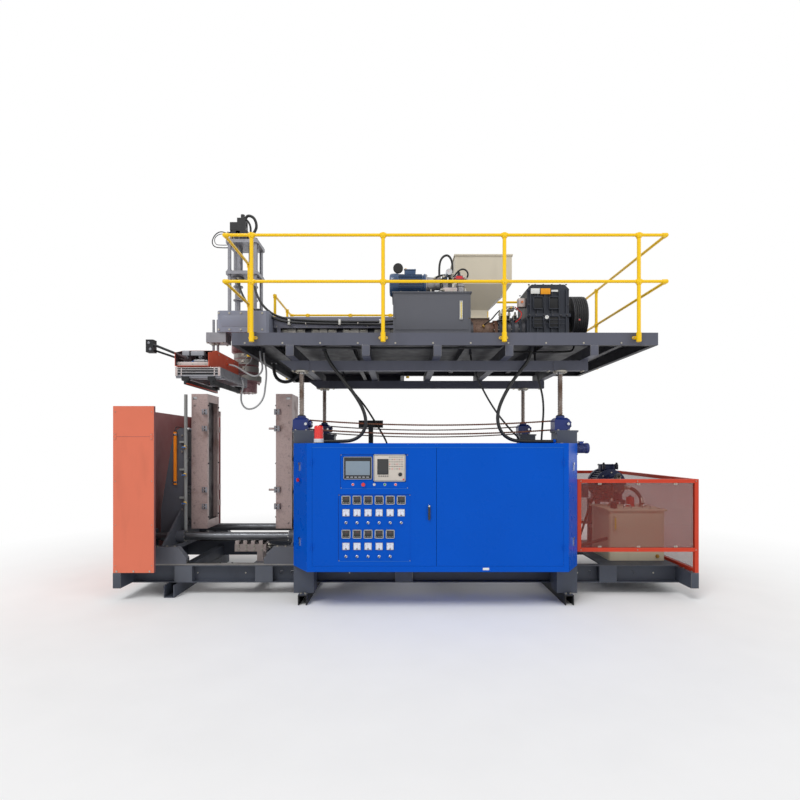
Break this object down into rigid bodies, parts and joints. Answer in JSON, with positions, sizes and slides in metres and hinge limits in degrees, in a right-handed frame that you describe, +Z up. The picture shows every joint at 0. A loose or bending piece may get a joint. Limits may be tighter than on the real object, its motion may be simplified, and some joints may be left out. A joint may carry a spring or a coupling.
{
  "type": "blow moulding machine",
  "caption": "Accumulator-head blow moulding machine: sliding clamp with platens, extruder on a lifting deck with handrails, control cabinet and guards.",
  "frame": {"origin": "middle of the machine's box in plan, on the floor", "axes": "+X to the right of the control front, +Y to the back, +Z up"},
  "size_m": [6.93, 3.5558, 5.08],
  "materials": {
    "frame_grey": "semi-gloss slate grey paint, dusty",
    "bare_steel": "machined steel with oil film",
    "guard_orange": "satin orange paint on sheet",
    "guard_red": "satin orange-red paint on tube",
    "guard_tint": "clear tinted panel",
    "tank_beige": "satin beige paint on sheet",
    "motor_blue": "dark blue machine paint",
    "cabinet_blue": "glossy blue paint on sheet",
    "bright_metal": "plated and bare light metal",
    "device_grey": "pale device plastic",
    "signal_red": "red plastic",
    "signal_green": "green plastic",
    "chain_steel": "oily rusty chain",
    "platen_steel": "machined iron with light rust",
    "sensor_orange": "anodised orange",
    "instrument_grey": "instrument bezels",
    "black_plastic": "black plastic",
    "rail_yellow": "glossy yellow paint on tube",
    "gearbox_grey": "dark machine paint on casting",
    "black_rubber": "black hose and belt rubber",
    "tank_grey": "grey paint on sheet",
    "conduit_grey": "grey corrugated conduit"
  },
  "bodies": {
    "base": {"base_frame": "frame_grey", "columns": "frame_grey", "clamp_rails": "bare_steel", "left_guard": "guard_orange", "right_guard_frame": "guard_red", "right_guard_panels": "guard_tint", "oil_tank": "tank_beige", "pump_motor": "motor_blue", "control_cabinet": "cabinet_blue", "cabinet_hardware": "bright_metal", "switchgear": "device_grey", "warning_beacon": "signal_red", "jack_housings": "motor_blue", "drive_chains": "chain_steel", "lift_gearmotor": "motor_blue", "clamp_hydraulics": "bare_steel", "left_front_hose": "black_rubber", "left_rear_hose": "black_rubber", "right_front_hose": "black_rubber", "right_middle_hose": "black_rubber", "gearmotor_hose": "black_rubber"},
    "left_clamp": {"left_carriage": "frame_grey", "left_platen": "platen_steel", "left_water_manifold": "bare_steel", "position_sensor": "sensor_orange"},
    "right_clamp": {"right_carriage": "frame_grey", "right_platen": "platen_steel"},
    "pinion": {"sync_pinion": "bare_steel"},
    "left_door_leaf": {"left_door": "cabinet_blue", "panel_instruments": "instrument_grey"},
    "right_door_leaf": {"right_door": "cabinet_blue"},
    "handle": {"door_handle": "black_plastic"},
    "panel_stop": {"panel_stop_button": "signal_red"},
    "start": {"start_button": "signal_green"},
    "key": {"key_switch": "black_plastic"},
    "side_stop": {"emergency_stop": "signal_red"},
    "deck": {"deck_frame": "frame_grey", "jack_screws": "bare_steel", "handrails": "rail_yellow", "barrel": "platen_steel", "heater_bands": "bright_metal", "barrel_cover": "frame_grey", "hopper": "tank_beige", "gearbox": "gearbox_grey", "main_motor": "motor_blue", "drive_belts": "black_rubber", "die_head": "frame_grey", "head_tower": "bright_metal", "station_tank": "tank_grey", "station_pump_set": "motor_blue", "parison_arm": "guard_orange", "pinch_frame": "bright_metal", "upper_conduit": "conduit_grey", "lower_conduit": "conduit_grey"},
    "screw": {"extruder_screw": "bare_steel"},
    "sheave": {"drive_sheave": "gearbox_grey"},
    "pulley": {"motor_pulley": "gearbox_grey"},
    "mandrel": {"die_mandrel": "bare_steel"},
    "left_pinch": {"left_pinch_bar": "signal_red"},
    "right_pinch": {"right_pinch_bar": "signal_red"}
  },
  "joints": [
    {"name": "deck_lift", "type": "slide", "parent": "base", "child": "deck", "axis": [0, 0, 1], "range_m": [-0.15, 0.35], "deforming": ["left_front_hose", "left_rear_hose", "right_front_hose", "right_middle_hose", "gearmotor_hose"]},
    {"name": "left_clamp_slide", "type": "slide", "parent": "base", "child": "left_clamp", "axis": [1, 0, 0], "range_m": [0, 0.3]},
    {"name": "right_clamp_slide", "type": "slide", "parent": "base", "child": "right_clamp", "axis": [-1, 0, 0], "range_m": [0, 0.3]},
    {"name": "pinion_spin", "type": "hinge", "parent": "base", "child": "pinion", "pos_m": [-2.224, 0.04, 0.447], "axis": [0, 1, 0], "range_deg": [0, 360]},
    {"name": "left_door_hinge", "type": "hinge", "parent": "base", "child": "left_door_leaf", "pos_m": [-1.042, -1.7463, 1.161], "axis": [0, 0, -1], "range_deg": [0, 110]},
    {"name": "right_door_hinge", "type": "hinge", "parent": "base", "child": "right_door_leaf", "pos_m": [1.741, -1.7463, 1.161], "axis": [0, 0, 1], "range_deg": [0, 110]},
    {"name": "handle_turn", "type": "hinge", "parent": "left_door_leaf", "child": "handle", "pos_m": [0.2535, -1.745, 1.17], "axis": [0, -1, 0], "range_deg": [0, 90]},
    {"name": "panel_stop_push", "type": "slide", "parent": "left_door_leaf", "child": "panel_stop", "axis": [0, 1, 0], "range_m": [0, 0.004], "stiffness_N_per_m": 1500},
    {"name": "start_push", "type": "slide", "parent": "left_door_leaf", "child": "start", "axis": [0, 1, 0], "range_m": [0, 0.004], "stiffness_N_per_m": 1500},
    {"name": "key_turn", "type": "hinge", "parent": "left_door_leaf", "child": "key", "pos_m": [-0.354, -1.736, 1.409], "axis": [0, 1, 0], "range_deg": [0, 90]},
    {"name": "side_stop_push", "type": "slide", "parent": "base", "child": "side_stop", "axis": [0.8405, 0.5417, 0], "range_m": [0, 0.004], "stiffness_N_per_m": 1500},
    {"name": "sheave_spin", "type": "hinge", "parent": "deck", "child": "sheave", "pos_m": [2.35, -0.19, 3.6], "axis": [1, 0, 0], "continuous": true},
    {"name": "pulley_spin", "type": "hinge", "parent": "deck", "child": "pulley", "pos_m": [2.35, 0.56, 3.36], "axis": [1, 0, 0], "continuous": true},
    {"name": "screw_spin", "type": "hinge", "parent": "deck", "child": "screw", "pos_m": [0, -0.19, 3.43], "axis": [1, 0, 0], "continuous": true},
    {"name": "mandrel_slide", "type": "slide", "parent": "deck", "child": "mandrel", "axis": [0, 0, 1], "range_m": [-0.02, 0.02]},
    {"name": "left_pinch_slide", "type": "slide", "parent": "deck", "child": "left_pinch", "axis": [1, 0, 0], "range_m": [0, 0.1]},
    {"name": "right_pinch_slide", "type": "slide", "parent": "deck", "child": "right_pinch", "axis": [-1, 0, 0], "range_m": [0, 0.1]}
  ],
  "couplings": [
    {"joint": "right_clamp_slide", "follows": "left_clamp_slide", "ratio": 1},
    {"joint": "pinion_spin", "follows": "left_clamp_slide", "rad_per_m": 20.833},
    {"joint": "pulley_spin", "follows": "sheave_spin", "ratio": 2.6667},
    {"joint": "screw_spin", "follows": "sheave_spin", "ratio": -0.08},
    {"joint": "right_pinch_slide", "follows": "left_pinch_slide", "ratio": 1}
  ]
}
